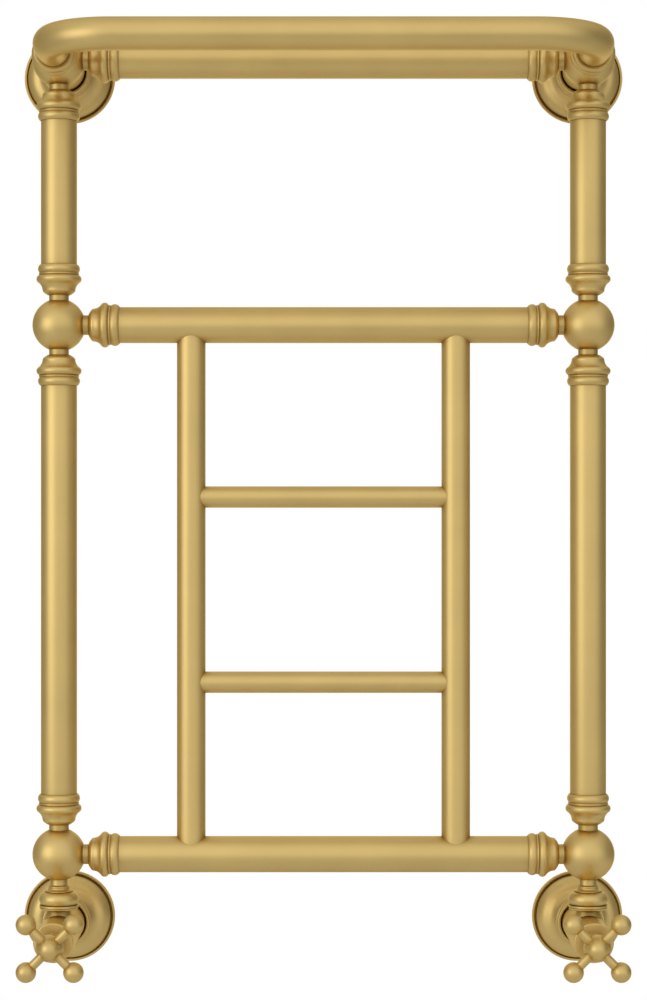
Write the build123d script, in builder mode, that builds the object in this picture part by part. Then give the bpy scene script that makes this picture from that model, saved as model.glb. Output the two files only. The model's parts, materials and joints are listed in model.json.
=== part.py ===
from build123d import *
import os
from math import atan, cos, degrees, radians, sin, sqrt

os.makedirs("parts", exist_ok=True)

# Water-heated towel rail, millimetres.
# The origin is on the wall, midway between the two top brackets.
# +Z is up, the wall is the plane Y = 0 and the rail stands in front of it, at negative Y.

# Centre lines of the frame
column_spacing = 500.0
top_bay = 250.0
bottom_bay = 500.0
wall_gap = 112.0
ladder_spacing = 250.0
rung_inset = 162.5

# Shelf rail, thinner than the frame's tubes by the step
shelf_reach = 150.0
shelf_bend = 60.0
shelf_step = 2.0
shelf_wall = 1.5

# Tubes
tube_radius = 17.0
tube_wall = 2.0
ladder_radius = 13.5
ladder_wall = 1.5
rung_radius = 10.1
rung_wall = 1.2

# Ball joints
ball_radius = 25.0
neck_radius = 9.3
water_radius = 6.0
spigot_cover = 16.8

# Collars
collar_gap = 3.2
collar_length = 29.0
collar_mouth = 1.1
socket_depth = 10.8

# Collar outline from the nose outwards: radius beyond the tube's, share of the length, bulge
collar_curves = (
    (-2.1, 0.107, -0.2),
    (-1.5, 0.175, -0.15),
    (2.9, 0.42, 0.9),
    (1.5, 0.655, -2.0),
    (1.3, 0.728, -0.6),
    (0.6, 1.0, -1.8),
)

# Clearances
thread_gap = 0.05
braze_gap = 0.05
slip_gap = 0.1
running_gap = 0.06
flat_gap = 0.05
seal_gap = 0.5

# Wall brackets
sleeve_radius = 18.5
sleeve_wall = 2.0
stay_boss_end = 40.0
plate_thickness = 4.0
plate_margin = 7.0
plate_boss_length = 26.0
plate_boss_wall = 6.4
screw_margin = 4.5
screw_hole_radius = 2.75
screw_sink_radius = 4.75
grub_radius = 2.5
grub_length = 6.0
grub_key_share = 0.55
grub_from_wall = 20.0

# Rosettes
rosette_radius = 44.5
rosette_height = 46.0
rosette_skin = 1.2
rim_width = 2.5
rim_height = 3.0
groove_width = 1.6
groove_floor = 0.5
bell_edge = 3.5
bell_share = 0.545
throat_share = 0.64
lip_gap = 0.8
lip_thickness = 4.0
lip_height = 9.5
lip_bead = 6.0
lip_rounding = 1.2
lip_bulge = 1.1
throat_inset = 1.0
ring_section = 0.98
ring_from_front = 5.4

# Unions, from the bottom ball down to the valve
union_neck_radius = 8.0
union_neck = 4.4
bead_foot = 1.9
bead_reach = 5.2
bead_height = 5.0
bead_edge = 0.8
bead_bulge = 1.3
collar_step = 1.0
nut_gap = 0.6
nut_radius = 18.6
nut_height = 12.4
nut_wall = 4.6
nut_roof = 2.3
nut_crown_step = 1.2
nut_waist = 0.9
nut_waist_height = 1.4
nut_foot = 1.6
nut_bulge = 3.45
tail_flange = 2.2
tail_spigot_radius = 7.0
tail_spigot = 5.5
tail_wall = 1.5
tail_thread_depth = 13.0
seal_thickness = 1.5
port_gap = 0.2
port_flange = 5.0
port_neck = 3.9
port_radius = 10.8
port_foot_radius = 13.2
port_flare = 3.0
port_flare_bulge = 0.4

# Grooved edge of the valve's upper flange: step in from the nut's radius, share of the height
flange_edge = ((0.4, 0.0), (0.4, 0.38), (1.1, 0.44), (0.6, 0.5), (1.0, 0.76), (3.4, 1.0))

# Valves, measured forwards from the plane of the tubes
valve_front = 52.0
disc_thickness = 5.3
disc_edge = 0.8
valve_shoulder = -26.0
valve_rear = -48.0
chamber_wall = 5.5
chamber_floor = -14.0
seat_rise = 2.0
seat_radius = 7.0
seat_width = 1.6
nipple_stop = -30.0
nipple_radius = 10.48
nipple_wall = 2.4
shank_step = 0.5
nipple_reach = 25.0
shroud_from_wall = 12.0

# Headwork, spindle and jumper
headwork_wall = 4.6
headwork_end = 27.0
spindle_thread_radius = 7.0
spindle_radius = 5.0
spindle_foot_step = 1.5
thread_start = 1.0
thread_spare = 2.0
valve_lift = 5.0
neck_length = 6.0
packing_width = 2.5
packing_depth = 8.0
packing_length = 4.0
gland_boss_radius = 10.0
gland_boss = 6.7
gland_flats = 17.0
gland_height = 5.0
washer_overlap = 0.3
washer_thickness = 3.4
jumper_rim = 0.3
jumper_thickness = 3.0
jumper_pin_radius = 2.0
jumper_pin_length = 24.0
pin_bore_spare = 1.0

# Cross handle
handle_gap = 6.0
hub_radius = 12.8
hub_front = 5.0
hub_back = 4.6
hub_step = 0.6
hub_rim = 2.0
hub_shoulder = 2.9
hub_shoulder_length = 5.5
hub_tail = 13.0
hub_tail_wall = 2.4
hub_tail_bulge = 1.15
hub_rim_bulge = 0.1
hub_shoulder_bulge = 0.6
spoke_radius = 4.3
spoke_reach = 30.7
knob_radius = 9.4
cap_radius = 9.8
cap_stem_radius = 2.0
cap_stem = 9.0
drive_step = 0.7
drive_inset = 6.0

# Air bleed valve, on the back of the top crossbar
bleed_inset = 80.0
bleed_radius = 7.0
bleed_length = 12.0
bleed_screw_radius = 3.0
bleed_screw_depth = 9.0
bleed_key = 5.0
bleed_key_length = 5.0
weep_radius = 1.0

# How far a drill runs past the surface it breaks through
drill_over = 1.0

# Values worked out from the sizes above
half_span = column_spacing / 2
tube_y = -wall_gap
middle_z = -top_bay
bottom_z = middle_z - bottom_bay
shelf_radius = tube_radius - shelf_step
collar_start = ball_radius + collar_gap
collar_end = collar_start + collar_length
tube_stop = collar_end - socket_depth
spigot_end = collar_start + spigot_cover
boss_radius = sleeve_radius - sleeve_wall - slip_gap
screw_spacing = 2 * (sleeve_radius + screw_margin)
plate_radius = screw_spacing / 2 + plate_margin
half_ladder = ladder_spacing / 2
upper_rung_z = middle_z - rung_inset
lower_rung_z = bottom_z + rung_inset

# Stations below the bottom ball's centre, from the ball down to the valve's axis
neck_end = ball_radius + union_neck
bead_end = neck_end + bead_height
nut_top = bead_end + nut_gap
nut_floor = nut_top + nut_height
roof_end = nut_top + nut_roof
tail_flange_start = roof_end + flat_gap
tail_flange_end = tail_flange_start + tail_flange
seal_end = tail_flange_end + seal_thickness
flange_top = nut_floor + port_gap
flange_end = flange_top + port_flange
port_foot = flange_end + port_neck + port_flare
inlet_drop = flange_end + port_neck + sleeve_radius
inlet_z = bottom_z - inlet_drop
bead_radius = union_neck_radius + bead_reach
tail_radius = union_neck_radius + collar_step
port_thread_radius = nut_radius - nut_wall
port_bore = tail_spigot_radius + seal_gap

# Stations forwards from the plane of the tubes, along the valve's axis
seat_face = chamber_floor + seat_rise
chamber_radius = sleeve_radius - chamber_wall
headwork_radius = sleeve_radius - headwork_wall
disc_front = valve_front + disc_thickness
gland_seat = disc_front + gland_boss
packing_floor = gland_seat - packing_depth
gland_foot = packing_floor + packing_length
packing_radius = spindle_radius + packing_width
thread_roof = packing_floor - neck_length
washer_back = seat_face + flat_gap
washer_front = washer_back + washer_thickness
washer_radius = seat_radius + seat_width + washer_overlap
jumper_front = washer_front + jumper_thickness
jumper_tip = jumper_front + jumper_pin_length
spindle_foot = jumper_front + flat_gap
spindle_foot_radius = spindle_thread_radius - spindle_foot_step
spindle_thread = headwork_end + thread_start
spindle_thread_end = thread_roof - valve_lift - thread_spare
handle_back = gland_seat + gland_height + handle_gap
handle_plane = handle_back + hub_tail
cap_base = handle_plane + hub_front
drive_start = handle_plane - drive_inset
drive_length = cap_base - flat_gap - drive_start
drive_side = sqrt(2) * (spindle_radius - drive_step)

UP, DOWN = Vector(0, 0, 1), Vector(0, 0, -1)
RIGHT, LEFT = Vector(1, 0, 0), Vector(-1, 0, 0)
FRONT, BACK = Vector(0, -1, 0), Vector(0, 1, 0)
COLUMNS = (("left", -half_span), ("right", half_span))
INWARD = {"left": RIGHT, "right": LEFT}


def keep(builder, name):
    """Label a finished piece and write its file."""
    builder.part.label = name
    export_step(builder.part, f"parts/{name}.step")


def lathe_plane(centre, along):
    """A plane whose X is the radius and whose Y runs along the turning axis."""
    across = RIGHT if abs(along.X) < 0.5 else UP
    return Plane(centre, x_dir=across, z_dir=across.cross(along))


def turn(plane, points, mode=Mode.ADD):
    """Turn a closed outline of (radius, distance along the axis) points.

    A third number on a point bulges the line leading to it into an arc, leftwards when positive.
    """
    with BuildSketch(plane) as outline:
        with BuildLine():
            for before, point in zip((points[-1], *points), points):
                if len(point) == 3:
                    SagittaArc(before[:2], point[:2], point[2])
                else:
                    Line(before[:2], point)
        make_face()
    revolve(outline.sketch, axis=Axis(plane.origin, plane.y_dir), mode=mode)


def rod(start, along, length, radius, mode=Mode.ADD):
    """A round bar, or with Mode.SUBTRACT a round hole."""
    with BuildSketch(Plane(start, z_dir=along)) as section:
        Circle(radius)
    extrude(section.sketch, amount=length, mode=mode)


def straight_tube(start, along, length, radius, wall):
    """A hollow tube inside the active part."""
    with BuildSketch(Plane(start, z_dir=along)) as section:
        Circle(radius)
        Circle(radius - wall, mode=Mode.SUBTRACT)
    extrude(section.sketch, amount=length)


# Column tubes, each held in a collar at both ends
for side, x in COLUMNS:
    for level, foot_z, bay in (("upper", middle_z, top_bay), ("lower", bottom_z, bottom_bay)):
        with BuildPart() as column:
            foot = (x, tube_y, foot_z + tube_stop)
            straight_tube(foot, UP, bay - 2 * tube_stop, tube_radius, tube_wall)
        keep(column, f"{level}_{side}_column")


# Crossbars, drilled where the ladder uprights and the bleed valve open into them
bar_start = tube_stop - half_span
bar_length = column_spacing - 2 * tube_stop
bleed_centre = Vector(half_span - bleed_inset, tube_y, 0)
ladder_bore = ladder_radius - ladder_wall

with BuildPart() as top_crossbar:
    straight_tube((bar_start, tube_y, 0), RIGHT, bar_length, tube_radius, tube_wall)
    rod(bleed_centre, BACK, tube_radius + drill_over, bleed_screw_radius, Mode.SUBTRACT)
keep(top_crossbar, "top_crossbar")

with BuildPart() as middle_crossbar:
    straight_tube((bar_start, tube_y, middle_z), RIGHT, bar_length, tube_radius, tube_wall)
    for x in (-half_ladder, half_ladder):
        rod((x, tube_y, middle_z), DOWN, tube_radius + drill_over, ladder_bore, Mode.SUBTRACT)
keep(middle_crossbar, "middle_crossbar")

with BuildPart() as bottom_crossbar:
    straight_tube((bar_start, tube_y, bottom_z), RIGHT, bar_length, tube_radius, tube_wall)
    for x in (-half_ladder, half_ladder):
        rod((x, tube_y, bottom_z), UP, tube_radius + drill_over, ladder_bore, Mode.SUBTRACT)
keep(bottom_crossbar, "bottom_crossbar")


# Ladder uprights, coped to sit on the two crossbars
cope = tube_radius + braze_gap
for side, x in (("left", -half_ladder), ("right", half_ladder)):
    with BuildPart() as ladder_upright:
        straight_tube((x, tube_y, bottom_z), UP, bottom_bay, ladder_radius, ladder_wall)
        for z in (middle_z, bottom_z):
            rod((x - tube_radius, tube_y, z), RIGHT, 2 * tube_radius, cope, Mode.SUBTRACT)
        for z in (upper_rung_z, lower_rung_z):
            hole_depth = ladder_radius + drill_over
            rod((x, tube_y, z), INWARD[side], hole_depth, rung_radius - rung_wall, Mode.SUBTRACT)
    keep(ladder_upright, f"{side}_ladder_upright")


# Rungs, coped to sit between the uprights
rung_cope = ladder_radius + braze_gap
for name, z in (("upper_rung", upper_rung_z), ("lower_rung", lower_rung_z)):
    with BuildPart() as rung:
        straight_tube((-half_ladder, tube_y, z), RIGHT, ladder_spacing, rung_radius, rung_wall)
        for x in (-half_ladder, half_ladder):
            rod((x, tube_y, z - ladder_radius), UP, 2 * ladder_radius, rung_cope, Mode.SUBTRACT)
    keep(rung, name)


# Shelf rail: one tube bent twice, level with the top crossbar
shelf_straight = shelf_reach - shelf_bend - tube_stop
with BuildPart() as shelf_rail:
    with BuildLine():
        left_end = Vector(-half_span, tube_y - tube_stop, 0)
        left_bend = left_end + FRONT * shelf_straight
        Line(left_end, left_bend)
        left_arc = JernArc(left_bend, FRONT, shelf_bend, 90)
        front_bar = Line(left_arc @ 1, left_arc @ 1 + RIGHT * (column_spacing - 2 * shelf_bend))
        right_arc = JernArc(front_bar @ 1, RIGHT, shelf_bend, 90)
        Line(right_arc @ 1, right_arc @ 1 + BACK * shelf_straight)
    with BuildSketch(Plane(left_end, z_dir=FRONT)):
        Circle(shelf_radius)
        Circle(shelf_radius - shelf_wall, mode=Mode.SUBTRACT)
    sweep()
keep(shelf_rail, "shelf_rail")


def add_ball(centre, arms):
    """A solid ball with a threaded spigot towards each tube, cross-drilled for the water."""
    with Locations(centre):
        Sphere(ball_radius)
    for along in arms:
        rod(centre, along, spigot_end, neck_radius)
    for along in arms:
        rod(centre, along, spigot_end, water_radius, Mode.SUBTRACT)


# Ball joints
for side, x in COLUMNS:
    top_centre = Vector(x, tube_y, 0)
    with BuildPart() as top_ball:
        add_ball(top_centre, (DOWN, INWARD[side], FRONT))
        boss_start = ball_radius / 2
        rod(top_centre + BACK * boss_start, BACK, stay_boss_end - boss_start, boss_radius)
    keep(top_ball, f"top_{side}_ball")

    with BuildPart() as middle_ball:
        add_ball(Vector(x, tube_y, middle_z), (UP, DOWN, INWARD[side]))
    keep(middle_ball, f"middle_{side}_ball")

    bottom_centre = Vector(x, tube_y, bottom_z)
    thread_top = bottom_centre + DOWN * (ball_radius - tail_thread_depth)
    with BuildPart() as bottom_ball:
        add_ball(bottom_centre, (UP, INWARD[side]))
        rod(bottom_centre, DOWN, ball_radius, water_radius, Mode.SUBTRACT)
        rod(thread_top, DOWN, tail_thread_depth, union_neck_radius + thread_gap, Mode.SUBTRACT)
    keep(bottom_ball, f"bottom_{side}_ball")


def add_collar(centre, along, held_radius):
    """One turned collar: it screws onto a ball's spigot and takes the end of a tube."""
    bore_radius = neck_radius + thread_gap
    socket_radius = held_radius + braze_gap
    curves = tuple(
        (tube_radius + step, collar_start + share * collar_length, bulge)
        for step, share, bulge in collar_curves
    )
    turn(
        lathe_plane(centre, along),
        (
            (neck_radius + collar_mouth, collar_start),
            *curves,
            (socket_radius, collar_end),
            (socket_radius, tube_stop),
            (bore_radius, tube_stop),
            (bore_radius, collar_start),
        ),
    )


# Collars, grouped by what they hold
with BuildPart() as column_collars:
    for x in (-half_span, half_span):
        for z, along in ((0, DOWN), (middle_z, UP), (middle_z, DOWN), (bottom_z, UP)):
            add_collar(Vector(x, tube_y, z), along, tube_radius)
keep(column_collars, "column_collars")

with BuildPart() as crossbar_collars:
    for side, x in COLUMNS:
        for z in (0, middle_z, bottom_z):
            add_collar(Vector(x, tube_y, z), INWARD[side], tube_radius)
keep(crossbar_collars, "crossbar_collars")

with BuildPart() as shelf_collars:
    for x in (-half_span, half_span):
        add_collar(Vector(x, tube_y, 0), FRONT, shelf_radius)
keep(shelf_collars, "shelf_collars")


# Top brackets: a plate on the wall, a sleeve over its boss and a grub screw from below
boss_end = plate_thickness + plate_boss_length
sink_start = plate_thickness - screw_sink_radius + screw_hole_radius
for side, x in COLUMNS:
    wall_point = Vector(x, 0, 0)
    grub_point = Vector(x, -grub_from_wall, 0)

    with BuildPart() as wall_plate:
        rod(wall_point, FRONT, plate_thickness, plate_radius)
        rod(wall_point, FRONT, boss_end, boss_radius)
        rod(wall_point, FRONT, boss_end, boss_radius - plate_boss_wall, Mode.SUBTRACT)
        for z in (-screw_spacing / 2, screw_spacing / 2):
            turn(
                lathe_plane(Vector(x, 0, z), FRONT),
                (
                    (0, 0),
                    (screw_hole_radius, 0),
                    (screw_hole_radius, sink_start),
                    (screw_sink_radius, plate_thickness),
                    (0, plate_thickness),
                ),
                Mode.SUBTRACT,
            )
        rod(grub_point, DOWN, sleeve_radius, grub_radius + thread_gap, Mode.SUBTRACT)
    keep(wall_plate, f"{side}_wall_plate")

    with BuildPart() as stay_sleeve:
        sleeve_start = Vector(x, -plate_thickness, 0)
        straight_tube(sleeve_start, FRONT, wall_gap - plate_thickness, sleeve_radius, sleeve_wall)
        with Locations((x, tube_y, 0)):
            Sphere(ball_radius + slip_gap, mode=Mode.SUBTRACT)
        rod(grub_point, DOWN, sleeve_radius + drill_over, grub_radius + thread_gap, Mode.SUBTRACT)
    keep(stay_sleeve, f"{side}_stay_sleeve")

with BuildPart() as stay_grub_screws:
    for x in (-half_span, half_span):
        grub_foot = Vector(x, -grub_from_wall, -sleeve_radius)
        rod(grub_foot, UP, grub_length, grub_radius)
        with BuildSketch(Plane(grub_foot, z_dir=UP)):
            RegularPolygon(grub_key_share * grub_radius, 6)
        extrude(amount=grub_length / 2, mode=Mode.SUBTRACT)
keep(stay_grub_screws, "stay_grub_screws")


def add_rosette(centre):
    """A bell against the wall: turned rim, dark groove, round shoulder, narrow throat and lip."""
    foot = rosette_radius - rim_width - groove_width
    lip_radius = sleeve_radius + lip_gap
    lip_outer = lip_radius + lip_thickness
    throat = lip_outer - throat_inset
    throat_height = throat_share * rosette_height
    lip_base = rosette_height - lip_height
    ring_mid = rosette_height - ring_from_front
    ring_half = ring_section + flat_gap
    ring_groove = sleeve_radius + 2 * ring_half

    # The shoulder and the throat are two arcs of equal turn that meet along one tangent
    rise = throat_height - bell_edge
    half_turn = atan((foot - throat) / rise)
    bell_round = bell_share * rise / sin(2 * half_turn)
    throat_round = rise / sin(2 * half_turn) - bell_round
    bell_turn = degrees(2 * half_turn)
    bell_centre = (foot - bell_round, bell_edge)
    throat_centre = (throat + throat_round, throat_height)

    plane = lathe_plane(centre, FRONT)
    with BuildSketch(plane) as outline:
        with BuildLine():
            CenterArc(bell_centre, bell_round, 0, bell_turn)
            CenterArc(throat_centre, throat_round, 180, bell_turn)
            CenterArc(bell_centre, bell_round - rosette_skin, 0, bell_turn)
            CenterArc(throat_centre, throat_round + rosette_skin, 180, bell_turn)
            Polyline(
                (foot, bell_edge),
                (foot, groove_floor),
                (foot + groove_width, groove_floor),
                (foot + groove_width, rim_height),
                (rosette_radius, rim_height),
                (rosette_radius, 0),
                (foot - rosette_skin, 0),
                (foot - rosette_skin, bell_edge),
            )
            Line((throat, throat_height), (throat, rosette_height - lip_bead))
            SagittaArc(
                (throat, rosette_height - lip_bead), (lip_outer - lip_rounding, rosette_height), -lip_bulge
            )
            Polyline(
                (lip_outer - lip_rounding, rosette_height),
                (lip_radius, rosette_height),
                (lip_radius, ring_mid + ring_half),
                (ring_groove, ring_mid + ring_half),
                (ring_groove, ring_mid - ring_half),
                (lip_radius, ring_mid - ring_half),
                (lip_radius, lip_base),
                (throat - rosette_skin, lip_base),
                (throat - rosette_skin, throat_height),
            )
        make_face()
    revolve(outline.sketch, axis=Axis(plane.origin, plane.y_dir))


# Rosettes over the four wall entries, and the rubber rings that grip their sleeves
for side, x in COLUMNS:
    for level, z in (("top", 0), ("bottom", inlet_z)):
        with BuildPart() as rosette:
            add_rosette(Vector(x, 0, z))
        keep(rosette, f"{level}_{side}_rosette")

with BuildPart() as rosette_grip_rings:
    for x in (-half_span, half_span):
        for z in (0, inlet_z):
            ring_plane = lathe_plane(Vector(x, 0, z), FRONT)
            ring_centre = (sleeve_radius + flat_gap + ring_section, rosette_height - ring_from_front)
            with BuildSketch(ring_plane):
                with Locations(ring_centre):
                    Circle(ring_section)
            revolve(axis=Axis(ring_plane.origin, ring_plane.y_dir))
keep(rosette_grip_rings, "rosette_grip_rings")


def add_spoke(centre, along):
    """A spoke with a ball end, turned in one about its own axis."""
    plane = Plane(centre, x_dir=FRONT, z_dir=FRONT.cross(along))
    waist = spoke_reach - sqrt(knob_radius**2 - spoke_radius**2)
    tip = spoke_reach + knob_radius
    with BuildSketch(plane) as outline:
        with BuildLine():
            Polyline((0, tip), (0, 0), (spoke_radius, 0), (spoke_radius, waist))
            ThreePointArc((spoke_radius, waist), (knob_radius, spoke_reach), (0, tip))
        make_face()
    revolve(outline.sketch, axis=Axis(plane.origin, plane.y_dir))


for side, x in COLUMNS:
    ball_centre = Vector(x, tube_y, bottom_z)
    inlet_point = Vector(x, tube_y, inlet_z)
    drop_plane = lathe_plane(ball_centre, DOWN)
    axis_plane = lathe_plane(inlet_point, FRONT)

    # The tail screws up into the ball and its flange is trapped by the nut
    with BuildPart() as union_tail:
        tail_bore = tail_spigot_radius - tail_wall
        tail_top = ball_radius - tail_thread_depth + flat_gap
        tail_foot = tail_flange_end + tail_spigot
        turn(
            drop_plane,
            (
                (union_neck_radius, tail_top),
                (union_neck_radius, neck_end),
                (union_neck_radius + bead_foot, neck_end),
                (bead_radius, bead_end - bead_edge, bead_bulge),
                (bead_radius, bead_end),
                (tail_radius, bead_end),
                (tail_radius, tail_flange_start),
                (port_thread_radius - flat_gap, tail_flange_start),
                (port_thread_radius - flat_gap, tail_flange_end),
                (tail_spigot_radius, tail_flange_end),
                (tail_spigot_radius, tail_foot),
                (tail_bore, tail_foot),
                (tail_bore, tail_top),
            ),
        )
    keep(union_tail, f"{side}_union_tail")

    # The bell-shaped nut
    with BuildPart() as union_nut:
        turn(
            drop_plane,
            (
                (bead_radius - nut_crown_step, nut_top),
                (nut_radius - nut_waist, nut_floor - nut_waist_height, -nut_bulge),
                (nut_radius - nut_foot, nut_floor),
                (port_thread_radius + thread_gap, nut_floor),
                (port_thread_radius + thread_gap, roof_end),
                (tail_radius + slip_gap, roof_end),
                (tail_radius + slip_gap, nut_top),
            ),
        )
    keep(union_nut, f"{side}_union_nut")

    # Valve body: a round barrel along the inlet with a port up to the union
    with BuildPart() as valve_body:
        turn(
            axis_plane,
            (
                (0, valve_rear),
                (boss_radius, valve_rear),
                (boss_radius, valve_shoulder),
                (sleeve_radius, valve_shoulder),
                (sleeve_radius, valve_front),
                (0, valve_front),
            ),
        )
        flange_points = tuple(
            (nut_radius - step, flange_top + share * port_flange) for step, share in flange_edge
        )
        turn(
            drop_plane,
            (
                (0, seal_end),
                (port_thread_radius, seal_end),
                (port_thread_radius, flange_top),
                *flange_points,
                (port_radius, flange_end),
                (port_foot_radius, port_foot, port_flare_bulge),
                (port_foot_radius, inlet_drop),
                (0, inlet_drop),
            ),
        )
        turn(
            axis_plane,
            (
                (0, valve_rear),
                (nipple_radius + thread_gap, valve_rear),
                (nipple_radius + thread_gap, nipple_stop),
                (seat_radius, nipple_stop),
                (seat_radius, seat_face),
                (seat_radius + seat_width, seat_face),
                (seat_radius + seat_width, chamber_floor),
                (chamber_radius, chamber_floor),
                (chamber_radius, headwork_end),
                (headwork_radius + thread_gap, headwork_end),
                (headwork_radius + thread_gap, valve_front),
                (0, valve_front),
            ),
            Mode.SUBTRACT,
        )
        rod(ball_centre + DOWN * seal_end, DOWN, inlet_drop - seal_end, port_bore, Mode.SUBTRACT)
    keep(valve_body, f"{side}_valve_body")

    # Pipe nipple into the wall, threaded at both ends, and the sleeve that hides it
    with BuildPart() as wall_nipple:
        nipple_bore = nipple_radius - nipple_wall
        shank_radius = nipple_radius - shank_step
        turn(
            axis_plane,
            (
                (nipple_bore, tube_y - nipple_reach),
                (nipple_radius, tube_y - nipple_reach),
                (nipple_radius, tube_y),
                (shank_radius, tube_y),
                (shank_radius, valve_rear),
                (nipple_radius, valve_rear),
                (nipple_radius, nipple_stop),
                (nipple_bore, nipple_stop),
            ),
        )
    keep(wall_nipple, f"{side}_wall_nipple")

    with BuildPart() as inlet_shroud:
        shroud_start = inlet_point + FRONT * valve_shoulder
        shroud_length = wall_gap + valve_shoulder - shroud_from_wall
        straight_tube(shroud_start, BACK, shroud_length, sleeve_radius, sleeve_wall)
    keep(inlet_shroud, f"{side}_inlet_shroud")

    # Headwork: the front disc, the thread for the spindle and the gland's seat
    with BuildPart() as headwork:
        turn(
            axis_plane,
            (
                (spindle_thread_radius + running_gap, headwork_end),
                (headwork_radius, headwork_end),
                (headwork_radius, valve_front),
                (sleeve_radius, valve_front),
                (sleeve_radius, disc_front - disc_edge),
                (sleeve_radius - disc_edge, disc_front),
                (gland_boss_radius, disc_front),
                (gland_boss_radius, gland_seat),
                (packing_radius, gland_seat),
                (packing_radius, packing_floor),
                (spindle_radius + running_gap, packing_floor),
                (spindle_radius + running_gap, thread_roof),
                (spindle_thread_radius + running_gap, thread_roof),
            ),
        )
    keep(headwork, f"{side}_headwork")

    # Gland nut: hexagon outside, round insert that presses the packing
    with BuildPart() as gland_nut:
        gland_start = inlet_point + FRONT * gland_foot
        rod(gland_start, FRONT, gland_seat - gland_foot, packing_radius - thread_gap)
        with BuildSketch(Plane(inlet_point + FRONT * gland_seat, z_dir=FRONT)):
            RegularPolygon(gland_flats / 2, 6, major_radius=False)
        extrude(amount=gland_height)
        gland_depth = gland_seat + gland_height - gland_foot
        rod(gland_start, FRONT, gland_depth, spindle_radius + running_gap, Mode.SUBTRACT)
    keep(gland_nut, f"{side}_gland_nut")

    # Spindle: thread, stem, square end for the handle and a bore for the jumper's pin
    with BuildPart() as spindle:
        pin_bore_radius = jumper_pin_radius + running_gap
        turn(
            axis_plane,
            (
                (pin_bore_radius, spindle_foot),
                (spindle_foot_radius, spindle_foot),
                (spindle_foot_radius, spindle_thread),
                (spindle_thread_radius, spindle_thread),
                (spindle_thread_radius, spindle_thread_end),
                (spindle_radius, spindle_thread_end),
                (spindle_radius, drive_start),
                (0, drive_start),
                (0, jumper_tip + pin_bore_spare),
                (pin_bore_radius, jumper_tip + pin_bore_spare),
            ),
        )
        drive_foot = inlet_point + FRONT * drive_start
        with BuildSketch(Plane(drive_foot, z_dir=FRONT)):
            Rectangle(drive_side, drive_side)
        extrude(amount=drive_length)
        rod(drive_foot, FRONT, drive_length, cap_stem_radius + thread_gap, Mode.SUBTRACT)
    keep(spindle, f"{side}_spindle")

    # Jumper and its washer, which close on the seat
    with BuildPart() as jumper:
        rod(inlet_point + FRONT * washer_front, FRONT, jumper_thickness, washer_radius + jumper_rim)
        rod(inlet_point + FRONT * jumper_front, FRONT, jumper_pin_length, jumper_pin_radius)
    keep(jumper, f"{side}_jumper")

    with BuildPart() as jumper_washer:
        rod(inlet_point + FRONT * washer_back, FRONT, washer_thickness, washer_radius)
    keep(jumper_washer, f"{side}_jumper_washer")

    # Cross handle: hub, four spokes at 45 degrees and their ball ends
    with BuildPart() as cross_handle:
        rim_back = handle_plane - hub_back
        turn(
            axis_plane,
            (
                (0, handle_back),
                (spindle_radius + hub_tail_wall, handle_back),
                (hub_radius - hub_step, rim_back, hub_tail_bulge),
                (hub_radius, rim_back + hub_rim, -hub_rim_bulge),
                (hub_radius, cap_base - hub_shoulder_length),
                (hub_radius - hub_shoulder, cap_base, hub_shoulder_bulge),
                (0, cap_base),
            ),
        )
        for quarter in range(4):
            angle = radians(45 + 90 * quarter)
            add_spoke(inlet_point + FRONT * handle_plane, Vector(cos(angle), 0, sin(angle)))
        tail_depth = drive_start - handle_back
        tail_start = inlet_point + FRONT * handle_back
        rod(tail_start, FRONT, tail_depth, spindle_radius + flat_gap, Mode.SUBTRACT)
        with BuildSketch(Plane(inlet_point + FRONT * drive_start, z_dir=FRONT)):
            Rectangle(drive_side + 2 * flat_gap, drive_side + 2 * flat_gap)
        extrude(amount=cap_base - drive_start, mode=Mode.SUBTRACT)
    keep(cross_handle, f"{side}_cross_handle")

    # Domed screw that holds the handle on the spindle
    with BuildPart() as handle_cap:
        with BuildSketch(axis_plane):
            with BuildLine():
                dome = CenterArc((0, cap_base), cap_radius, 0, 90)
                Polyline(
                    dome @ 1,
                    (0, cap_base - cap_stem),
                    (cap_stem_radius, cap_base - cap_stem),
                    (cap_stem_radius, cap_base),
                    dome @ 0,
                )
            make_face()
        revolve(axis=Axis(axis_plane.origin, axis_plane.y_dir))
    keep(handle_cap, f"{side}_handle_cap")


# Seals and packings, one of each at either valve
with BuildPart() as union_seals:
    for x in (-half_span, half_span):
        turn(
            lathe_plane(Vector(x, tube_y, bottom_z), DOWN),
            (
                (tail_spigot_radius + flat_gap, tail_flange_end),
                (port_thread_radius - seal_gap, tail_flange_end),
                (port_thread_radius - seal_gap, seal_end),
                (tail_spigot_radius + flat_gap, seal_end),
            ),
        )
keep(union_seals, "union_seals")

with BuildPart() as gland_packings:
    for x in (-half_span, half_span):
        turn(
            lathe_plane(Vector(x, tube_y, inlet_z), FRONT),
            (
                (spindle_radius + running_gap, packing_floor),
                (packing_radius - thread_gap, packing_floor),
                (packing_radius - thread_gap, gland_foot),
                (spindle_radius + running_gap, gland_foot),
            ),
        )
keep(gland_packings, "gland_packings")


# Air bleed valve: a boss brazed to the crossbar and a screw turned with a key
bleed_face = tube_radius + bleed_length
weep_point = bleed_centre + BACK * (bleed_face - bleed_screw_depth / 2)
with BuildPart() as bleed_valve_body:
    rod(bleed_centre, BACK, bleed_face, bleed_radius)
    rod(bleed_centre + LEFT * bleed_radius, RIGHT, 2 * bleed_radius, cope, Mode.SUBTRACT)
    rod(bleed_centre, BACK, bleed_face, bleed_screw_radius + running_gap, Mode.SUBTRACT)
    rod(weep_point, DOWN, bleed_radius + drill_over, weep_radius, Mode.SUBTRACT)
keep(bleed_valve_body, "bleed_valve_body")

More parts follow.
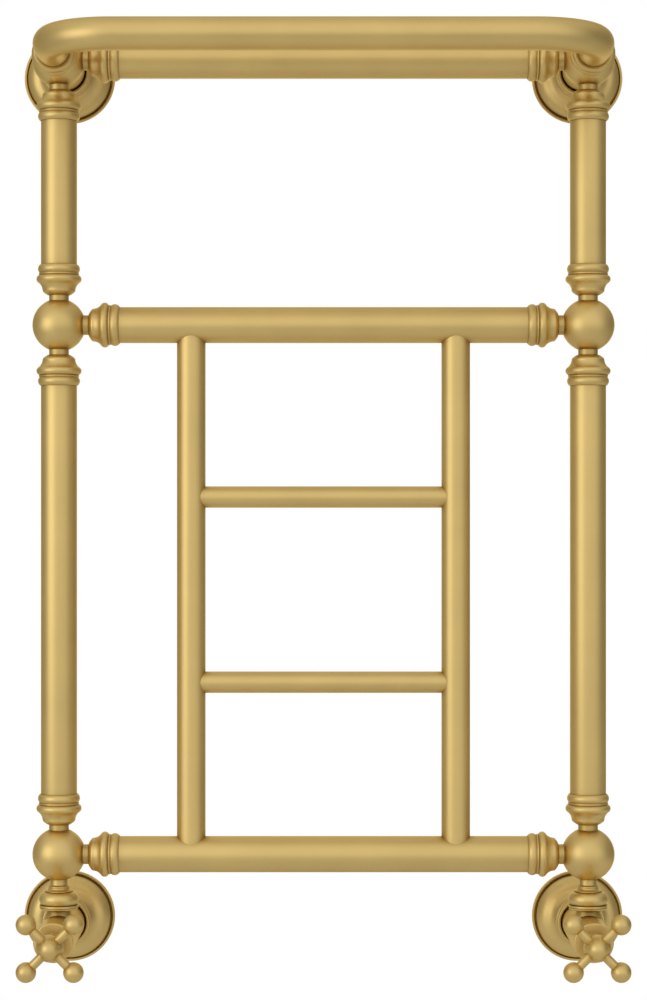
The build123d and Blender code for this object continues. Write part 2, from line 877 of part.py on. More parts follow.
with BuildPart() as bleed_screw:
    screw_end = bleed_centre + BACK * bleed_face
    rod(screw_end, FRONT, bleed_screw_depth, bleed_screw_radius)
    with BuildSketch(Plane(screw_end, z_dir=BACK)):
        Rectangle(bleed_key, bleed_key)
    extrude(amount=bleed_key_length)
keep(bleed_screw, "bleed_screw")
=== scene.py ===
import json
import math

import bmesh
import bpy
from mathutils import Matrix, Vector


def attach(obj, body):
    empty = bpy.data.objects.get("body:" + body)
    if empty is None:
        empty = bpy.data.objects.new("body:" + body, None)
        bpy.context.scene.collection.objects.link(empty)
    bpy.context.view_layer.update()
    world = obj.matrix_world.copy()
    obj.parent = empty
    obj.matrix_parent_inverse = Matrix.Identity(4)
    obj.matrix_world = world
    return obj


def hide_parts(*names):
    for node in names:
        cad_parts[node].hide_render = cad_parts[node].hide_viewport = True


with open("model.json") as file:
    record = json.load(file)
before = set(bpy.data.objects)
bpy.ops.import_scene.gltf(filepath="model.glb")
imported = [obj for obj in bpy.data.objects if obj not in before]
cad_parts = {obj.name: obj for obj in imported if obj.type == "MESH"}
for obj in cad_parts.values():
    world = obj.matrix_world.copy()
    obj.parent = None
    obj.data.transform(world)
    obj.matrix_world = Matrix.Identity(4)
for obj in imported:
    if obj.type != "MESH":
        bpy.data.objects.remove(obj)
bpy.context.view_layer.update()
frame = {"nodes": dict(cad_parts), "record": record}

# Sizes are in millimetres in the CAD frame, and are scaled once, when a mesh is made
MM = 0.001
UP, DOWN = Vector((0, 0, 1)), Vector((0, 0, -1))
RIGHT, LEFT = Vector((1, 0, 0)), Vector((-1, 0, 0))
FRONT, BACK = Vector((0, -1, 0)), Vector((0, 1, 0))

# Centre lines
TUBE_Y = -112
COLUMN_X = 250
MIDDLE_Z = -250
BOTTOM_Z = -750
INLET_Z = -825
LADDER_X = 125
RUNG_Z = {"upper": -412.5, "lower": -587.5}
SHELF_Y = -262
SHELF_BEND = 60
SIDES = (("left", -COLUMN_X, RIGHT), ("right", COLUMN_X, LEFT))

# Radii and the station where a tube ends inside its collar
TUBE_R, TUBE_WALL = 17, 2
SHELF_R, SHELF_WALL = 15, 1.5
LADDER_R, LADDER_WALL = 13.5, 1.5
RUNG_R, RUNG_WALL = 10.1, 1.2
SLEEVE_R, SLEEVE_WALL = 18.5, 2
BALL_R = 25
NECK_R = 9.3
TUBE_STOP = 46.4
BRAZE_GAP = 0.05


# ---- materials ----

# What a metal's edge-on reflection is multiplied by, so that it stays as warm as the rest
EDGE_TINT = (0.86, 0.74, 0.48)
# Painted shade in crevices: how near another surface darkens the base colour, in metres, the share
# of open air at which it is darkest, and how much of each colour is left there
PAINTED_SHADE_REACH = 0.008
PAINTED_SHADE_SHUT = 0.22
PAINTED_SHADE_TONE = (0.36, 0.28, 0.12)
# How deep the turning marks are, in metres
MARK_DEPTH = 0.00005


def new_material(name):
    """A node material, its node tree and its shader."""
    mat = bpy.data.materials.new(name)
    mat.use_nodes = True
    return mat, mat.node_tree, mat.node_tree.nodes["Principled BSDF"]


def brushed_metal(name, colour, roughness, brushing):
    """Satin metal: turning marks round each piece, a fine grain, a mottle in tone and gloss, and
    painted shade in crevices.
    """
    mat, tree, shader = new_material(name)
    shader.inputs["Metallic"].default_value = 1.0
    shader.inputs["Specular Tint"].default_value = (*EDGE_TINT, 1)
    coords = tree.nodes.new("ShaderNodeTexCoord")

    def noise(source, scale, detail, stretch=(1, 1, 1)):
        mapping = tree.nodes.new("ShaderNodeMapping")
        mapping.inputs["Scale"].default_value = stretch
        texture = tree.nodes.new("ShaderNodeTexNoise")
        texture.inputs["Scale"].default_value = scale
        texture.inputs["Detail"].default_value = detail
        tree.links.new(coords.outputs[source], mapping.inputs["Vector"])
        tree.links.new(mapping.outputs["Vector"], texture.inputs["Vector"])
        return texture.outputs["Fac"]

    def ranged(value, low, high):
        node = tree.nodes.new("ShaderNodeMapRange")
        node.inputs["To Min"].default_value = low
        node.inputs["To Max"].default_value = high
        tree.links.new(value, node.inputs["Value"])
        return node.outputs["Result"]

    marks = noise("UV", 1.0, 3, (40, 2600, 1))
    grain = noise("Object", 1500, 2)
    mottle = noise("Object", 16, 4)

    tint = tree.nodes.new("ShaderNodeValToRGB")
    for element, place, level in zip(tint.color_ramp.elements, (0.3, 0.7), (0.95, 1.03)):
        element.position = place
        element.color = (*[min(1, c * level) for c in colour], 1)
    tree.links.new(mottle, tint.inputs["Fac"])

    # Painted shade: ambient occlusion darkens the base colour towards a darker tone where other
    # surfaces are near
    open_air = tree.nodes.new("ShaderNodeAmbientOcclusion")
    open_air.samples = 8
    open_air.inputs["Distance"].default_value = PAINTED_SHADE_REACH
    painted_shade_mask = tree.nodes.new("ShaderNodeMapRange")
    painted_shade_mask.inputs["From Min"].default_value = PAINTED_SHADE_SHUT
    painted_shade_mix = tree.nodes.new("ShaderNodeMix")
    painted_shade_mix.data_type = "RGBA"
    painted_shade_mix.inputs["A"].default_value = (*[c * level for c, level in zip(colour, PAINTED_SHADE_TONE)], 1)
    tree.links.new(open_air.outputs["AO"], painted_shade_mask.inputs["Value"])
    tree.links.new(painted_shade_mask.outputs["Result"], painted_shade_mix.inputs["Factor"])
    tree.links.new(tint.outputs["Color"], painted_shade_mix.inputs["B"])
    tree.links.new(painted_shade_mix.outputs["Result"], shader.inputs["Base Color"])

    gloss = tree.nodes.new("ShaderNodeMath")
    tree.links.new(ranged(marks, roughness - 0.05, roughness + 0.05), gloss.inputs[0])
    tree.links.new(ranged(mottle, -0.03, 0.03), gloss.inputs[1])
    tree.links.new(gloss.outputs["Value"], shader.inputs["Roughness"])

    relief = tree.nodes.new("ShaderNodeMath")
    tree.links.new(marks, relief.inputs[0])
    tree.links.new(ranged(grain, -0.3, 0.3), relief.inputs[1])
    bump = tree.nodes.new("ShaderNodeBump")
    bump.inputs["Strength"].default_value = brushing
    bump.inputs["Distance"].default_value = MARK_DEPTH
    tree.links.new(relief.outputs["Value"], bump.inputs["Height"])
    tree.links.new(bump.outputs["Normal"], shader.inputs["Normal"])
    return mat


def matt_rubber(name, colour):
    """Dull rubber with a fine speckle."""
    mat, tree, shader = new_material(name)
    shader.inputs["Roughness"].default_value = 0.8
    coords = tree.nodes.new("ShaderNodeTexCoord")
    speckle = tree.nodes.new("ShaderNodeTexNoise")
    speckle.inputs["Scale"].default_value = 900
    tint = tree.nodes.new("ShaderNodeValToRGB")
    for element, level in zip(tint.color_ramp.elements, (0.7, 1.2)):
        element.color = (*[c * level for c in colour], 1)
    tree.links.new(coords.outputs["Object"], speckle.inputs["Vector"])
    tree.links.new(speckle.outputs["Fac"], tint.inputs["Fac"])
    tree.links.new(tint.outputs["Color"], shader.inputs["Base Color"])
    return mat


MATERIALS = {
    "satin_gold": brushed_metal("satin_gold", (0.81, 0.592, 0.226), 0.42, 0.25),
    "plain_brass": brushed_metal("plain_brass", (0.72, 0.50, 0.19), 0.32, 0.4),
    "steel": brushed_metal("steel", (0.20, 0.20, 0.21), 0.42, 0.4),
    "rubber": matt_rubber("rubber", (0.03, 0.03, 0.03)),
}
SLOT_OF = {s["node"]: s["material_slot"] for s in frame["record"]["subparts"]}
BODY_OF = {n: body for body, names in frame["record"]["behaviour"]["bodies"].items() for n in names}


# ---- outlines and turned shapes ----

def bulged(start, end, bulge, steps):
    """Points of an arc to its end, start left out. A positive bulge stands out leftwards."""
    chord = end - start
    sag = abs(bulge)
    radius = (chord.length**2 / 4 + sag**2) / (2 * sag)
    leftwards = Vector((-chord.y, chord.x)).normalized() * math.copysign(1, bulge)
    centre = (start + end) / 2 + leftwards * (sag - radius)
    spoke = start - centre
    turn = -math.copysign(2 * math.asin(min(1, chord.length / 2 / radius)), bulge)
    points = []
    for k in range(1, steps):
        c, s = math.cos(turn * k / steps), math.sin(turn * k / steps)
        points.append(centre + Vector((spoke.x * c - spoke.y * s, spoke.x * s + spoke.y * c)))
    return [*points, end]


def outline(rows, steps=14):
    """A closed outline of (radius, station) rows. A third number bulges the line to its point."""
    points = []
    for before, row in zip((rows[-1], *rows), rows):
        start, end = Vector(before[:2]), Vector(row[:2])
        points += bulged(start, end, row[2], steps) if len(row) == 3 else [end]
    return points


def soften(points, size, samples=4, sharp_angle=24, share=0.42):
    """Rounds the sharp corners of a closed outline, apart from those on the axis. A corner takes
    up at most a share of the way to the next one."""
    count = len(points)
    starts = [0.0]
    for i in range(count):
        starts.append(starts[-1] + (points[(i + 1) % count] - points[i]).length)
    total = starts[-1]

    def at(s):
        s %= total
        i = max(k for k in range(count) if starts[k] <= s)
        length = starts[i + 1] - starts[i]
        return points[i].lerp(points[(i + 1) % count], (s - starts[i]) / length)

    sharp = []
    for i in range(count):
        before, after = points[i] - points[i - 1], points[(i + 1) % count] - points[i]
        if points[i].x > 0 and math.degrees(before.angle(after)) > sharp_angle:
            sharp.append(i)
    reach = {}
    for k, i in enumerate(sharp):
        before = (starts[i] - starts[sharp[k - 1]]) % total or total
        after = (starts[sharp[(k + 1) % len(sharp)]] - starts[i]) % total or total
        reach[i] = min(size, share * before, share * after)
    made = []
    for i in range(count):
        if i in reach:
            a, corner, b = at(starts[i] - reach[i]), points[i], at(starts[i] + reach[i])
            for k in range(samples + 1):
                t = k / samples
                made.append(a * (1 - t) ** 2 + corner * 2 * t * (1 - t) + b * t**2)
        elif all(min((starts[i] - starts[j]) % total, (starts[j] - starts[i]) % total) > r
                 for j, r in reach.items()):
            made.append(points[i])
    return made


def skin(bm, rings, closed_along):
    """Faces between rings of vertices. UVs are in metres: U round a ring, V from ring to ring."""
    uv = bm.loops.layers.uv.verify()
    around = max(sum((a.co - b.co).length for a, b in zip(ring, ring[1:])) for ring in rings)
    pairs = list(zip(rings, rings[1:]))
    if closed_along:
        pairs.append((rings[-1], rings[0]))
    v = 0.0
    for a, b in pairs:
        step = (a[0].co - b[0].co).length
        count = max(len(a), len(b))
        for k in range(count):
            n = (k + 1) % count
            if len(a) == 1 and len(b) == 1:
                break
            if len(a) == 1:
                corners = ((a[0], k, 0), (b[n], k + 1, 1), (b[k], k, 1))
            elif len(b) == 1:
                corners = ((a[k], k, 0), (a[n], k + 1, 0), (b[0], k, 1))
            else:
                corners = ((a[k], k, 0), (a[n], k + 1, 0), (b[n], k + 1, 1), (b[k], k, 1))
            face = bm.faces.new([vert for vert, _, _ in corners])
            for loop, (_, u, side) in zip(face.loops, corners):
                loop[uv].uv = (around * u / count, v + side * step)
        v += step


def circle(bm, centre, across, other, radius, segments):
    """A ring of vertices in the plane of two directions, or one vertex for no radius."""
    if radius < 1e-6:
        return [bm.verts.new(centre * MM)]
    ring = []
    for k in range(segments):
        angle = 2 * math.pi * k / segments
        spoke = across * math.cos(angle) + other * math.sin(angle)
        ring.append(bm.verts.new((centre + spoke * radius) * MM))
    return ring


def finished(name, bm, edge_angle=math.radians(32)):
    """A mesh object from a bmesh, smooth except along edges that turn by the angle or more."""
    bmesh.ops.recalc_face_normals(bm, faces=bm.faces)
    for face in bm.faces:
        face.smooth = True
    for edge in bm.edges:
        edge.smooth = len(edge.link_faces) == 2 and edge.calc_face_angle() < edge_angle
    mesh = bpy.data.meshes.new(name)
    bm.to_mesh(mesh)
    bm.free()
    obj = bpy.data.objects.new(name, mesh)
    bpy.context.scene.collection.objects.link(obj)
    return obj


def turned(name, jobs, size=0.5, segments=96):
    """One object with a turned solid for each (centre, along, rows) job. Size rounds corners."""
    bm = bmesh.new()
    for centre, along, rows in jobs:
        across = RIGHT if abs(along.dot(RIGHT)) < 0.5 else UP
        across = (across - along * across.dot(along)).normalized()
        other = along.cross(across)
        points = outline(rows)
        if size:
            points = soften(points, size)
        rings = [circle(bm, Vector(centre) + along * p.y, across, other, p.x, segments)
                 for p in points]
        skin(bm, rings, closed_along=True)
    return finished(name, bm)


def joined(name, parts, operation="UNION"):
    """Adds the other parts to the first. DIFFERENCE cuts them out, INTERSECT keeps the overlap."""
    base = parts[0]
    for other in parts[1:]:
        join = base.modifiers.new("join", "BOOLEAN")
        join.operation = operation
        join.solver = "EXACT"
        join.object = other
    bpy.context.view_layer.update()
    graph = bpy.context.evaluated_depsgraph_get()
    mesh = bpy.data.meshes.new_from_object(base.evaluated_get(graph))
    for part in parts:
        bpy.data.objects.remove(part)
    bm = bmesh.new()
    bm.from_mesh(mesh)
    bpy.data.meshes.remove(mesh)
    return finished(name, bm)


def place(obj, node):
    """Lets a finished piece stand for a CAD node, on its body and in its material."""
    material_slot = SLOT_OF[node]
    obj.data.materials.clear()
    obj.data.materials.append(MATERIALS[material_slot])
    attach(obj, BODY_OF[node])
    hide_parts(node)


def pipe(radius, wall, start, end):
    """Outline rows of a straight tube."""
    return ((radius - wall, start), (radius - wall, end), (radius, end), (radius, start))


def bar(radius, start, end):
    """Outline rows of a plain round bar, used to cut other pieces."""
    return ((0, start), (radius, start), (radius, end), (0, end))


# ---- straight tubes ----

for side, x, _ in SIDES:
    for level, low, high in (("upper", MIDDLE_Z, 0), ("lower", BOTTOM_Z, MIDDLE_Z)):
        rows = pipe(TUBE_R, TUBE_WALL, TUBE_STOP, high - low - TUBE_STOP)
        tube = turned(f"{level}_{side}_column_tube", [((x, TUBE_Y, low), UP, rows)])
        place(tube, f"{level}_{side}_column")

for name, z in (("top", 0), ("middle", MIDDLE_Z), ("bottom", BOTTOM_Z)):
    rows = pipe(TUBE_R, TUBE_WALL, TUBE_STOP, 2 * COLUMN_X - TUBE_STOP)
    tube = turned(f"{name}_bar", [((-COLUMN_X, TUBE_Y, z), RIGHT, rows)])
    place(tube, f"{name}_crossbar")

for side, x in (("left", -LADDER_X), ("right", LADDER_X)):
    rows = pipe(LADDER_R, LADDER_WALL, 0, MIDDLE_Z - BOTTOM_Z)
    tube = turned("upright", [((x, TUBE_Y, BOTTOM_Z), UP, rows)])
    cope = bar(TUBE_R + BRAZE_GAP, -2 * TUBE_R, 2 * TUBE_R)
    cutters = [turned("cope", [((x, TUBE_Y, z), RIGHT, cope)], 0) for z in (MIDDLE_Z, BOTTOM_Z)]
    upright = joined(f"{side}_ladder_tube", [tube, *cutters], "DIFFERENCE")
    place(upright, f"{side}_ladder_upright")

for level, z in RUNG_Z.items():
    rows = pipe(RUNG_R, RUNG_WALL, 0, 2 * LADDER_X)
    tube = turned("rung", [((-LADDER_X, TUBE_Y, z), RIGHT, rows)])
    cope = bar(LADDER_R + BRAZE_GAP, -2 * RUNG_R, 2 * RUNG_R)
    cutters = [turned("cope", [((x, TUBE_Y, z), UP, cope)], 0) for x in (-LADDER_X, LADDER_X)]
    place(joined(f"{level}_rung_tube", [tube, *cutters], "DIFFERENCE"), f"{level}_rung")


# ---- shelf rail ----

def shelf_tube(segments=80, turns=32):
    """The shelf rail's tube, swept along its two bends."""
    corner_y = SHELF_Y + SHELF_BEND
    path = [(Vector((-COLUMN_X, TUBE_Y - TUBE_STOP, 0)), FRONT)]
    for inward in (1, -1):
        centre = Vector((-inward * (COLUMN_X - SHELF_BEND), corner_y, 0))
        for k in range(turns + 1):
            angle = math.pi / 2 * (k if inward == 1 else turns - k) / turns
            out = Vector((-inward * math.cos(angle), -math.sin(angle), 0))
            along = Vector((math.sin(angle), -inward * math.cos(angle), 0))
            path.append((centre + out * SHELF_BEND, along))
    path.append((Vector((COLUMN_X, TUBE_Y - TUBE_STOP, 0)), BACK))
    bm = bmesh.new()
    outside, inside = ([circle(bm, p, along.cross(UP), UP, radius, segments) for p, along in path]
                       for radius in (SHELF_R, SHELF_R - SHELF_WALL))
    skin(bm, outside + inside[::-1], closed_along=True)
    return finished("shelf_rail_tube", bm)


place(shelf_tube(), "shelf_rail")


# ---- ball joints ----

NECK = ((0, 15), (NECK_R, 15), (NECK_R, 45), (6, 45), (6, 30), (0, 30))
STAY_BOSS = ((0, 12.5), (16.4, 12.5), (16.4, 40), (0, 40))


def ball_rows(radius, steps=40):
    """Outline of a ball, from its back to its front."""
    half = [(radius * math.sin(math.pi * k / steps), -radius * math.cos(math.pi * k / steps))
            for k in range(1, steps)]
    return ((0, -radius), *half, (0, radius))


def ball_joint(name, centre, arms, boss=()):
    """A ball with the necks that screw into its collars."""
    parts = [turned("ball", [(centre, UP, ball_rows(BALL_R))], 0)]
    parts += [turned("neck", [(centre, along, NECK)], 0.4, 72) for along in arms]
    parts += [turned("boss", [(centre, along, STAY_BOSS)], 0.4) for along in boss]
    return joined(name, parts)


for side, x, inward in SIDES:
    top = ball_joint(f"top_{side}_ball_joint", (x, TUBE_Y, 0), (DOWN, inward, FRONT), (BACK,))
    place(top, f"top_{side}_ball")
    middle = ball_joint(f"middle_{side}_ball_joint", (x, TUBE_Y, MIDDLE_Z), (UP, DOWN, inward))
    place(middle, f"middle_{side}_ball")
    bottom = ball_joint(f"bottom_{side}_ball_joint", (x, TUBE_Y, BOTTOM_Z), (UP, inward))
    place(bottom, f"bottom_{side}_ball")


# ---- collars ----

COLLAR_EDGE = 0.25


def collar_rows(held):
    """Nose, cove, large bead, thin ring, small bead, then the socket that holds the tube."""
    return (
        (10.4, 28.2), (14.9, 31.3, -0.2), (15.5, 33.27, -0.15), (19.9, 40.38, 0.9),
        (18.5, 47.2, -2.0), (18.3, 49.3, -0.6), (17.6, 57.2, -1.8), (held + BRAZE_GAP, 57.2),
        (held + BRAZE_GAP, TUBE_STOP), (NECK_R + BRAZE_GAP, TUBE_STOP), (NECK_R + BRAZE_GAP, 28.2),
    )


column_jobs, bar_jobs, shelf_jobs = [], [], []
for _, x, inward in SIDES:
    for z, along in ((0, DOWN), (MIDDLE_Z, UP), (MIDDLE_Z, DOWN), (BOTTOM_Z, UP)):
        column_jobs.append(((x, TUBE_Y, z), along, collar_rows(TUBE_R)))
    for z in (0, MIDDLE_Z, BOTTOM_Z):
        bar_jobs.append(((x, TUBE_Y, z), inward, collar_rows(TUBE_R)))
    shelf_jobs.append(((x, TUBE_Y, 0), FRONT, collar_rows(SHELF_R)))
for name, jobs in (("column", column_jobs), ("crossbar", bar_jobs), ("shelf", shelf_jobs)):
    place(turned(f"{name}_collar_turnings", jobs, COLLAR_EDGE), f"{name}_collars")


# ---- wall brackets and rosettes ----

def rosette_rows():
    """A turned rim, a dark groove, a round shoulder, a narrow throat and a lip round the sleeve."""
    foot, edge, throat, throat_height, wall = 40.6, 3.5, 22.3, 29.44, 1.2
    rim, groove, groove_floor, bore = 44.5, 42, 0.5, 19.3
    shoulder_share = 0.545
    rise, drop = throat_height - edge, foot - throat
    half_turn = math.atan(drop / rise)
    both_rounds = rise / math.sin(2 * half_turn)
    shoulder = shoulder_share * both_rounds
    neck = both_rounds - shoulder
    sag = 1 - math.cos(half_turn)
    outward = Vector((math.cos(2 * half_turn), math.sin(2 * half_turn)))
    meeting = Vector((foot - shoulder_share * drop, edge + shoulder_share * rise))
    inner_meeting = meeting - outward * wall
    return (
        (foot - wall, 0), (rim, 0), (rim, 3), (groove, 3), (groove, groove_floor),
        (foot, groove_floor), (foot, edge), (*meeting, -shoulder * sag),
        (throat, throat_height, neck * sag), (throat, 33), (throat, 37.4, -1.9), (throat, 40),
        (22.1, 46, -1.1), (20, 46), (bore, 44.6), (bore, 36.5), (throat - wall, 36.5),
        (throat - wall, throat_height), (*inner_meeting, -(neck + wall) * sag),
        (foot - wall, edge, (shoulder - wall) * sag),
    )


def grub_hole(x):
    """A cutter for the screw hole under a bracket's sleeve."""
    return turned("hole", [((x, -20, 0), DOWN, bar(2.55, 10, 25))], 0, 32)


# A stay sleeve starts on the wall plate and ends against the ball, its bore before its outside
SLEEVE_BORE, SLEEVE_BACK = SLEEVE_R - SLEEVE_WALL, 4
BORE_FRONT, SLEEVE_FRONT = (-TUBE_Y - math.sqrt((BALL_R + 0.1) ** 2 - r**2)
                            for r in (SLEEVE_BORE, SLEEVE_R))
SLEEVE = (
    (SLEEVE_BORE, SLEEVE_BACK), (SLEEVE_BORE, BORE_FRONT), (SLEEVE_R, SLEEVE_FRONT),
    (SLEEVE_R, SLEEVE_BACK),
)
for side, x, _ in SIDES:
    tube = turned("sleeve", [((x, 0, 0), FRONT, SLEEVE)], 0.2)
    place(joined(f"{side}_stay_tube", [tube, grub_hole(x)], "DIFFERENCE"), f"{side}_stay_sleeve")
    rows = pipe(SLEEVE_R, SLEEVE_WALL, 12, 86)
    shroud = turned(f"{side}_shroud_tube", [((x, 0, INLET_Z), FRONT, rows)], 0.3)
    place(shroud, f"{side}_inlet_shroud")
    for level, z in (("top", 0), ("bottom", INLET_Z)):
        rosette = [((x, 0, z), FRONT, rosette_rows())]
        bell = turned(f"{level}_{side}_rosette_bell", rosette, 0.6, segments=144)
        place(bell, f"{level}_{side}_rosette")


# ---- unions and valves ----

# Outlines below the bottom ball: the stations are downwards from its centre
UNION_TAIL = (
    (5.5, 12.05), (8, 12.05), (8, 28.2), (9.5, 29.6, 0.3), (9.5, 31.2, -0.3), (13.2, 33.9, 0.9),
    (13.2, 34.95), (9, 34.95), (9, 37.35), (13.95, 37.35), (13.95, 39.55), (7, 39.55), (7, 45.05),
    (5.5, 45.05),
)
UNION_NUT = (
    (9.1, 35), (12, 35), (17.7, 46, -3.45), (17, 47.55), (14.05, 47.55), (14.05, 37.3), (9.1, 37.3),
)
PORT = (
    (0, 41.05), (14, 41.05), (14, 47.6), (18.4, 47.6), (18.4, 49.5), (17.7, 49.8), (18.2, 50.1),
    (17.8, 51.4), (15.2, 52.6), (10.8, 52.6), (13.2, 59.5, 0.4), (13.2, 66), (0, 66),
)
PORT_BORE = bar(7.5, 41.05, 66)

# Outlines of the valve: the stations are forwards from the rail's plane
STEM_R = 5.06
BARREL = (
    (10.53, -48), (16.4, -48), (16.4, -26), (18.5, -26), (18.5, 52), (13.95, 52), (13.95, 27),
    (13, 27), (13, -14), (8.6, -14), (8.6, -12), (7, -12), (7, -30), (10.53, -30),
)
CHAMBER = bar(13, -14, 27)
HEADWORK = (
    (STEM_R, 50), (STEM_R, 56), (7.5, 56), (7.5, 64), (10, 64), (10, 57.3), (17.7, 57.3),
    (18.5, 56.5), (18.5, 52), (13.9, 52), (13.9, 27), (7.06, 27), (7.06, 50),
)
GLAND_FLATS, GLAND_BACK, GLAND_FRONT = 17, 64.05, 69
HUB = (
    (0, 75), (7.4, 75), (12.2, 83.4, 1.15), (12.8, 85.4, -0.1), (12.8, 87.5), (9.9, 93, 0.6),
    (0, 93),
)
SPOKE_STATION = 88
CAP = ((0, 84), (2, 84), (2, 93), (9.8, 93), (0, 102.8, -2.87))


def hexagon_nut(name, centre):
    """A hexagon nut: a turned blank with both ends chamfered, cut to its flats."""
    corner = GLAND_FLATS / math.sqrt(3)
    face = GLAND_FLATS / 2 - 0.2
    chamfer = 0.9
    bm = bmesh.new()
    rings = [circle(bm, Vector(centre) + FRONT * station, UP, RIGHT, corner, 6)
             for station in (GLAND_BACK - 1, GLAND_FRONT + 1)]
    skin(bm, rings, closed_along=False)
    for ring in rings:
        bm.faces.new(ring)
    prism = finished("prism", bm)
    rows = (
        (STEM_R, GLAND_BACK), (STEM_R, GLAND_FRONT), (face, GLAND_FRONT),
        (corner + 0.1, GLAND_FRONT - chamfer), (corner + 0.1, GLAND_BACK + chamfer),
        (face, GLAND_BACK),
    )
    blank = turned("blank", [(centre, FRONT, rows)], 0)
    return joined(name, [blank, prism], "INTERSECT")


def cross_handle(name, inlet):
    """Hub, four spokes and their ball ends in one skin."""
    reach, ball, spoke = 30.7, 9.4, 4.3
    first = math.atan2(-math.sqrt(ball**2 - spoke**2), spoke)
    arc = [first + (math.pi / 2 - first) * k / 28 for k in range(28)]
    ball_end = [(ball * math.cos(a), reach + ball * math.sin(a)) for a in arc]
    rows = ((0, 0), (spoke, 0), *ball_end, (0, reach + ball))
    start = Vector(inlet) + FRONT * SPOKE_STATION
    parts = [turned("hub", [(inlet, FRONT, HUB)], 0.5, segments=112)]
    for quarter in range(4):
        angle = math.radians(45 + 90 * quarter)
        along = Vector((math.cos(angle), 0, math.sin(angle)))
        parts.append(turned("spoke", [(start, along, rows)], 0, segments=64))
    return joined(name, parts)


for side, x, _ in SIDES:
    ball_centre = (x, TUBE_Y, BOTTOM_Z)
    inlet = (x, TUBE_Y, INLET_Z)
    stem = turned(f"{side}_union_stem", [(ball_centre, DOWN, UNION_TAIL)], 0.4)
    place(stem, f"{side}_union_tail")
    bell_nut = turned(f"{side}_union_bell_nut", [(ball_centre, DOWN, UNION_NUT)], 0.35)
    place(bell_nut, f"{side}_union_nut")
    barrel = turned("barrel", [(inlet, FRONT, BARREL)])
    port = turned("port", [(ball_centre, DOWN, PORT)], 0.3)
    casting = joined("casting", [barrel, port])
    chamber = turned("chamber", [(inlet, FRONT, CHAMBER)], 0)
    bore = turned("bore", [(ball_centre, DOWN, PORT_BORE)], 0)
    body = joined(f"{side}_valve_casting", [casting, chamber, bore], "DIFFERENCE")
    place(body, f"{side}_valve_body")
    place(turned(f"{side}_headwork_disc", [(inlet, FRONT, HEADWORK)]), f"{side}_headwork")
    place(hexagon_nut(f"{side}_gland_hexagon", inlet), f"{side}_gland_nut")
    place(cross_handle(f"{side}_cross_grip", inlet), f"{side}_cross_handle")
    place(turned(f"{side}_cap_dome", [(inlet, FRONT, CAP)], 0.4), f"{side}_handle_cap")


# ---- CAD pieces that stay ----

for name, node in frame["nodes"].items():
    if not node.hide_render:
        node.data.materials.clear()
        node.data.materials.append(MATERIALS[SLOT_OF[name]])


# ---- stage, light and camera ----

def maths(tree, operation, *values):
    """A Math node. Each value is a number or another node's output."""
    node = tree.nodes.new("ShaderNodeMath")
    node.operation = operation
    for socket, value in zip(node.inputs, values):
        if isinstance(value, (int, float)):
            socket.default_value = value
        else:
            tree.links.new(value, socket)
    return node.outputs["Value"]


def smooth_step(tree, value, low, high):
    """Nothing below low, one above high, and a smooth rise between them."""
    node = tree.nodes.new("ShaderNodeMapRange")
    node.interpolation_type = "SMOOTHSTEP"
    node.inputs["From Min"].default_value = low
    node.inputs["From Max"].default_value = high
    tree.links.new(value, node.inputs["Value"])
    return node.outputs["Result"]


def rays(tree):
    """Whether a ray is the camera's own, and whether it comes by way of the metal."""
    path = tree.nodes.new("ShaderNodeLightPath")
    glossy, through = path.outputs["Is Glossy Ray"], path.outputs["Is Transmission Ray"]
    return path.outputs["Is Camera Ray"], maths(tree, "MAXIMUM", glossy, through)


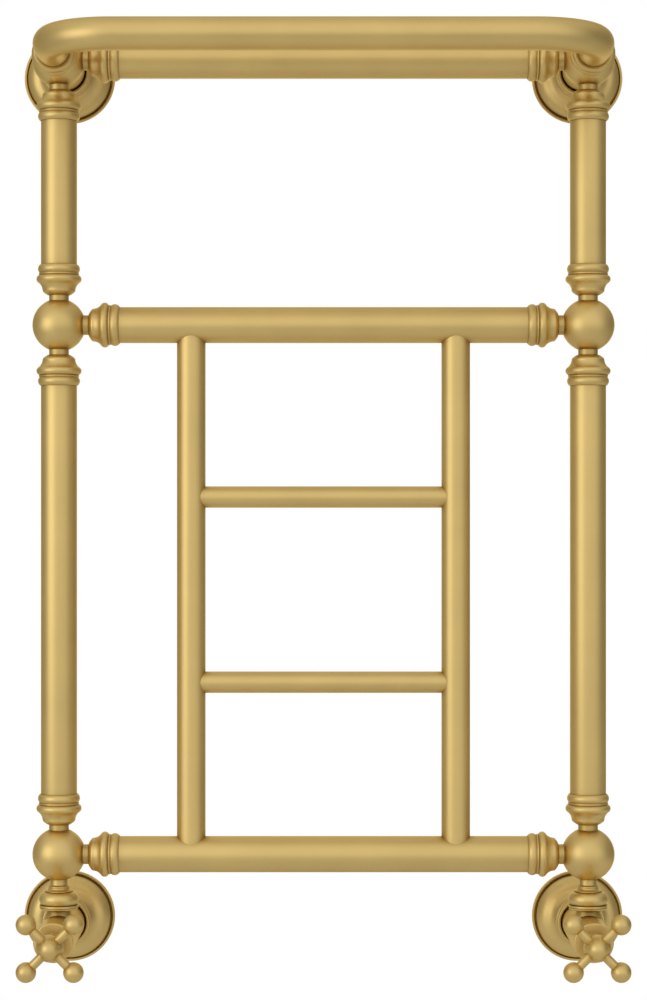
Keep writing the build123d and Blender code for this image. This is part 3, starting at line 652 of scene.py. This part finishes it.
def studio():
    """White to the camera. The metal sees a soft front wall, dark sides and a white backdrop."""
    # Strengths: the front wall, the sides, overhead, below, and what is added towards the left
    front, side, overhead, below, leftwards = 0.84, 0.29, 0.62, 0.40, 0.055
    world = bpy.data.worlds.new("studio")
    bpy.context.scene.world = world
    world.use_nodes = True
    tree = world.node_tree
    background = tree.nodes["Background"]
    coords = tree.nodes.new("ShaderNodeTexCoord")
    axes = tree.nodes.new("ShaderNodeSeparateXYZ")
    tree.links.new(coords.outputs["Generated"], axes.inputs["Vector"])
    x, y, z = axes.outputs

    # Each step blends from the level before it to the next
    level = maths(tree, "MULTIPLY_ADD", smooth_step(tree, z, 0.2, 0.9), overhead - side, side)
    towards_front = smooth_step(tree, maths(tree, "MULTIPLY", y, -1), 0.05, 0.75)
    level = maths(tree, "MULTIPLY_ADD", maths(tree, "SUBTRACT", front, level), towards_front, level)
    level = maths(tree, "MULTIPLY_ADD", x, -leftwards, level)
    above = smooth_step(tree, z, -0.36, -0.01)
    level = maths(tree, "MULTIPLY_ADD", maths(tree, "SUBTRACT", level, below), above, below)

    from_camera, from_metal = rays(tree)
    backdrop = maths(tree, "MULTIPLY", smooth_step(tree, y, 0.74, 0.97), from_metal)
    white = maths(tree, "MAXIMUM", backdrop, from_camera)
    level = maths(tree, "MULTIPLY_ADD", maths(tree, "SUBTRACT", 1, level), white, level)
    tree.links.new(level, background.inputs["Strength"])
    background.inputs["Color"].default_value = (1, 1, 1, 1)


def lamp(name, azimuth, elevation, distance, size, power):
    """A soft square lamp. Azimuth is degrees leftwards of the camera's side."""
    target = Vector((0, -0.11, -0.42))
    a, e = math.radians(azimuth), math.radians(elevation)
    towards = Vector((-math.sin(a) * math.cos(e), -math.cos(a) * math.cos(e), math.sin(e)))
    spot = target + distance * towards
    light = bpy.data.lights.new(name, "AREA")
    light.size = size
    light.energy = power
    obj = bpy.data.objects.new(name, light)
    bpy.context.scene.collection.objects.link(obj)
    obj.location = spot
    obj.rotation_euler = (target - spot).to_track_quat("-Z", "Y").to_euler()


def floor():
    """A pale floor below the rail. It is white to the camera and keeps the rail's shadow."""
    pale, glow_to_camera, glow_to_metal = 0.78, 0.6, 0.05
    bpy.ops.mesh.primitive_plane_add(size=3, location=(0, -0.6, -1.15))
    plane = bpy.context.object
    plane.name = "floor"
    mat, tree, shader = new_material("floor")
    shader.inputs["Base Color"].default_value = (pale, pale, pale, 1)
    shader.inputs["Roughness"].default_value = 0.9
    shader.inputs["Emission Color"].default_value = (1, 1, 1, 1)
    from_camera, from_metal = rays(tree)
    to_camera = maths(tree, "MULTIPLY", from_camera, glow_to_camera)
    glow = maths(tree, "MULTIPLY_ADD", from_metal, glow_to_metal, to_camera)
    tree.links.new(glow, shader.inputs["Emission Strength"])
    plane.data.materials.append(mat)


studio()
floor()
lamp("key", azimuth=52, elevation=6, distance=2.6, size=1.9, power=8)

camera_data = bpy.data.cameras.new("camera")
camera_data.lens = 97.88
camera = bpy.data.objects.new("camera", camera_data)
bpy.context.scene.collection.objects.link(camera)
camera.location = (0, -2.682, -0.4153)
camera.rotation_euler = (math.pi / 2, 0, 0)
bpy.context.scene.camera = camera
bpy.context.scene.view_settings.view_transform = "Standard"
